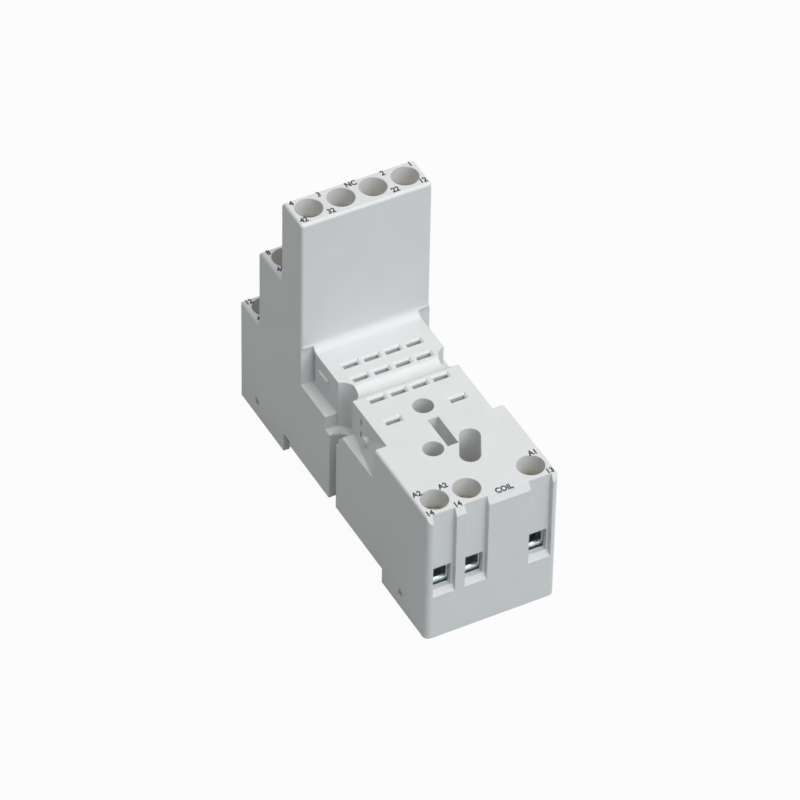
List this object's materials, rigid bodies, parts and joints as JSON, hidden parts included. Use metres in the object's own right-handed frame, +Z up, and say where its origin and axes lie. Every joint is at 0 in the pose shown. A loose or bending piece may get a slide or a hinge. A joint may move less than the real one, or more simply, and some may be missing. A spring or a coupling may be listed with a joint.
{
  "type": "relay socket",
  "caption": "Stepped relay socket with rising clamp screw terminals, blade receptacles in a flat seat, and a rail channel with a sprung latch.",
  "frame": {"origin": "on the floor under the middle of the outline, between the feet", "axes": "+Y from the coil end to the three stepped rows, +X across the terminals, +Z up"},
  "size_m": [0.027, 0.0754, 0.0613],
  "materials": {
    "body_plastic": "light grey moulded polyamide, fine satin grain",
    "cover_plastic": "light grey moulded polyamide, satin",
    "latch_plastic": "grey moulded acetal, satin",
    "spring_steel": "bare spring steel strip",
    "contact_brass": "tin plated brass strip, dull",
    "screw_steel": "zinc plated steel, slightly yellow",
    "cage_steel": "zinc plated steel, bright"
  },
  "bodies": {
    "socket": {"housing": "body_plastic", "base_cover": "cover_plastic", "latch_spring": "spring_steel", "contact_a1": "contact_brass", "contact_a2": "contact_brass", "contact_42": "contact_brass", "contact_32": "contact_brass", "contact_22": "contact_brass", "contact_12": "contact_brass", "contact_44": "contact_brass", "contact_34": "contact_brass", "contact_24": "contact_brass", "contact_14": "contact_brass", "contact_41": "contact_brass", "contact_31": "contact_brass", "contact_21": "contact_brass", "contact_11": "contact_brass"},
    "rail_latch": {"rail_latch": "latch_plastic"},
    "terminal_screw_a2_left": {"terminal_screw_a2_left": "screw_steel"},
    "clamp_cage_a2_left": {"clamp_cage_a2_left": "cage_steel"},
    "terminal_screw_a2_right": {"terminal_screw_a2_right": "screw_steel"},
    "clamp_cage_a2_right": {"clamp_cage_a2_right": "cage_steel"},
    "terminal_screw_a1": {"terminal_screw_a1": "screw_steel"},
    "clamp_cage_a1": {"clamp_cage_a1": "cage_steel"},
    "terminal_screw_42": {"terminal_screw_42": "screw_steel"},
    "clamp_cage_42": {"clamp_cage_42": "cage_steel"},
    "terminal_screw_32": {"terminal_screw_32": "screw_steel"},
    "clamp_cage_32": {"clamp_cage_32": "cage_steel"},
    "terminal_screw_22": {"terminal_screw_22": "screw_steel"},
    "clamp_cage_22": {"clamp_cage_22": "cage_steel"},
    "terminal_screw_12": {"terminal_screw_12": "screw_steel"},
    "clamp_cage_12": {"clamp_cage_12": "cage_steel"},
    "terminal_screw_44": {"terminal_screw_44": "screw_steel"},
    "clamp_cage_44": {"clamp_cage_44": "cage_steel"},
    "terminal_screw_34": {"terminal_screw_34": "screw_steel"},
    "clamp_cage_34": {"clamp_cage_34": "cage_steel"},
    "terminal_screw_24": {"terminal_screw_24": "screw_steel"},
    "clamp_cage_24": {"clamp_cage_24": "cage_steel"},
    "terminal_screw_14": {"terminal_screw_14": "screw_steel"},
    "clamp_cage_14": {"clamp_cage_14": "cage_steel"},
    "terminal_screw_41": {"terminal_screw_41": "screw_steel"},
    "clamp_cage_41": {"clamp_cage_41": "cage_steel"},
    "terminal_screw_31": {"terminal_screw_31": "screw_steel"},
    "clamp_cage_31": {"clamp_cage_31": "cage_steel"},
    "terminal_screw_21": {"terminal_screw_21": "screw_steel"},
    "clamp_cage_21": {"clamp_cage_21": "cage_steel"},
    "terminal_screw_11": {"terminal_screw_11": "screw_steel"},
    "clamp_cage_11": {"clamp_cage_11": "cage_steel"}
  },
  "joints": [
    {"name": "rail_latch_slide", "type": "slide", "parent": "socket", "child": "rail_latch", "axis": [0, 1, 0], "range_m": [0, 0.0025], "stiffness_N_per_m": 1200, "springref_m": -0.001, "deforming": ["latch_spring"]},
    {"name": "screw_turn_a2_left", "type": "hinge", "parent": "socket", "child": "terminal_screw_a2_left", "pos_m": [-0.0099, -0.0333, 0.0253], "axis": [0, 0, -1], "range_deg": [0, 2521]},
    {"name": "cage_lift_a2_left", "type": "slide", "parent": "socket", "child": "clamp_cage_a2_left", "axis": [0, 0, 1], "range_m": [0, 0.0035]},
    {"name": "screw_turn_a2_right", "type": "hinge", "parent": "socket", "child": "terminal_screw_a2_right", "pos_m": [-0.0033, -0.0333, 0.0253], "axis": [0, 0, -1], "range_deg": [0, 2521]},
    {"name": "cage_lift_a2_right", "type": "slide", "parent": "socket", "child": "clamp_cage_a2_right", "axis": [0, 0, 1], "range_m": [0, 0.0035]},
    {"name": "screw_turn_a1", "type": "hinge", "parent": "socket", "child": "terminal_screw_a1", "pos_m": [0.0099, -0.0333, 0.0253], "axis": [0, 0, -1], "range_deg": [0, 2521]},
    {"name": "cage_lift_a1", "type": "slide", "parent": "socket", "child": "clamp_cage_a1", "axis": [0, 0, 1], "range_m": [0, 0.0035]},
    {"name": "screw_turn_42", "type": "hinge", "parent": "socket", "child": "terminal_screw_42", "pos_m": [-0.0099, 0.0164, 0.05635], "axis": [0, 0, -1], "range_deg": [0, 2521]},
    {"name": "cage_lift_42", "type": "slide", "parent": "socket", "child": "clamp_cage_42", "axis": [0, 0, 1], "range_m": [0, 0.0035]},
    {"name": "screw_turn_32", "type": "hinge", "parent": "socket", "child": "terminal_screw_32", "pos_m": [-0.0033, 0.0164, 0.05635], "axis": [0, 0, -1], "range_deg": [0, 2521]},
    {"name": "cage_lift_32", "type": "slide", "parent": "socket", "child": "clamp_cage_32", "axis": [0, 0, 1], "range_m": [0, 0.0035]},
    {"name": "screw_turn_22", "type": "hinge", "parent": "socket", "child": "terminal_screw_22", "pos_m": [0.0033, 0.0164, 0.05635], "axis": [0, 0, -1], "range_deg": [0, 2521]},
    {"name": "cage_lift_22", "type": "slide", "parent": "socket", "child": "clamp_cage_22", "axis": [0, 0, 1], "range_m": [0, 0.0035]},
    {"name": "screw_turn_12", "type": "hinge", "parent": "socket", "child": "terminal_screw_12", "pos_m": [0.0099, 0.0164, 0.05635], "axis": [0, 0, -1], "range_deg": [0, 2521]},
    {"name": "cage_lift_12", "type": "slide", "parent": "socket", "child": "clamp_cage_12", "axis": [0, 0, 1], "range_m": [0, 0.0035]},
    {"name": "screw_turn_44", "type": "hinge", "parent": "socket", "child": "terminal_screw_44", "pos_m": [-0.0099, 0.0256, 0.03725], "axis": [0, 0, -1], "range_deg": [0, 2521]},
    {"name": "cage_lift_44", "type": "slide", "parent": "socket", "child": "clamp_cage_44", "axis": [0, 0, 1], "range_m": [0, 0.0035]},
    {"name": "screw_turn_34", "type": "hinge", "parent": "socket", "child": "terminal_screw_34", "pos_m": [-0.0033, 0.0256, 0.03725], "axis": [0, 0, -1], "range_deg": [0, 2521]},
    {"name": "cage_lift_34", "type": "slide", "parent": "socket", "child": "clamp_cage_34", "axis": [0, 0, 1], "range_m": [0, 0.0035]},
    {"name": "screw_turn_24", "type": "hinge", "parent": "socket", "child": "terminal_screw_24", "pos_m": [0.0033, 0.0256, 0.03725], "axis": [0, 0, -1], "range_deg": [0, 2521]},
    {"name": "cage_lift_24", "type": "slide", "parent": "socket", "child": "clamp_cage_24", "axis": [0, 0, 1], "range_m": [0, 0.0035]},
    {"name": "screw_turn_14", "type": "hinge", "parent": "socket", "child": "terminal_screw_14", "pos_m": [0.0099, 0.0256, 0.03725], "axis": [0, 0, -1], "range_deg": [0, 2521]},
    {"name": "cage_lift_14", "type": "slide", "parent": "socket", "child": "clamp_cage_14", "axis": [0, 0, 1], "range_m": [0, 0.0035]},
    {"name": "screw_turn_41", "type": "hinge", "parent": "socket", "child": "terminal_screw_41", "pos_m": [-0.0099, 0.0337, 0.0186], "axis": [0, 0, -1], "range_deg": [0, 2521]},
    {"name": "cage_lift_41", "type": "slide", "parent": "socket", "child": "clamp_cage_41", "axis": [0, 0, 1], "range_m": [0, 0.0035]},
    {"name": "screw_turn_31", "type": "hinge", "parent": "socket", "child": "terminal_screw_31", "pos_m": [-0.0033, 0.0337, 0.0186], "axis": [0, 0, -1], "range_deg": [0, 2521]},
    {"name": "cage_lift_31", "type": "slide", "parent": "socket", "child": "clamp_cage_31", "axis": [0, 0, 1], "range_m": [0, 0.0035]},
    {"name": "screw_turn_21", "type": "hinge", "parent": "socket", "child": "terminal_screw_21", "pos_m": [0.0033, 0.0337, 0.0186], "axis": [0, 0, -1], "range_deg": [0, 2521]},
    {"name": "cage_lift_21", "type": "slide", "parent": "socket", "child": "clamp_cage_21", "axis": [0, 0, 1], "range_m": [0, 0.0035]},
    {"name": "screw_turn_11", "type": "hinge", "parent": "socket", "child": "terminal_screw_11", "pos_m": [0.0099, 0.0337, 0.0186], "axis": [0, 0, -1], "range_deg": [0, 2521]},
    {"name": "cage_lift_11", "type": "slide", "parent": "socket", "child": "clamp_cage_11", "axis": [0, 0, 1], "range_m": [0, 0.0035]}
  ],
  "couplings": [
    {"joint": "screw_turn_a2_left", "follows": "cage_lift_a2_left", "rad_per_m": 12566},
    {"joint": "screw_turn_a2_right", "follows": "cage_lift_a2_right", "rad_per_m": 12566},
    {"joint": "screw_turn_a1", "follows": "cage_lift_a1", "rad_per_m": 12566},
    {"joint": "screw_turn_42", "follows": "cage_lift_42", "rad_per_m": 12566},
    {"joint": "screw_turn_32", "follows": "cage_lift_32", "rad_per_m": 12566},
    {"joint": "screw_turn_22", "follows": "cage_lift_22", "rad_per_m": 12566},
    {"joint": "screw_turn_12", "follows": "cage_lift_12", "rad_per_m": 12566},
    {"joint": "screw_turn_44", "follows": "cage_lift_44", "rad_per_m": 12566},
    {"joint": "screw_turn_34", "follows": "cage_lift_34", "rad_per_m": 12566},
    {"joint": "screw_turn_24", "follows": "cage_lift_24", "rad_per_m": 12566},
    {"joint": "screw_turn_14", "follows": "cage_lift_14", "rad_per_m": 12566},
    {"joint": "screw_turn_41", "follows": "cage_lift_41", "rad_per_m": 12566},
    {"joint": "screw_turn_31", "follows": "cage_lift_31", "rad_per_m": 12566},
    {"joint": "screw_turn_21", "follows": "cage_lift_21", "rad_per_m": 12566},
    {"joint": "screw_turn_11", "follows": "cage_lift_11", "rad_per_m": 12566}
  ]
}
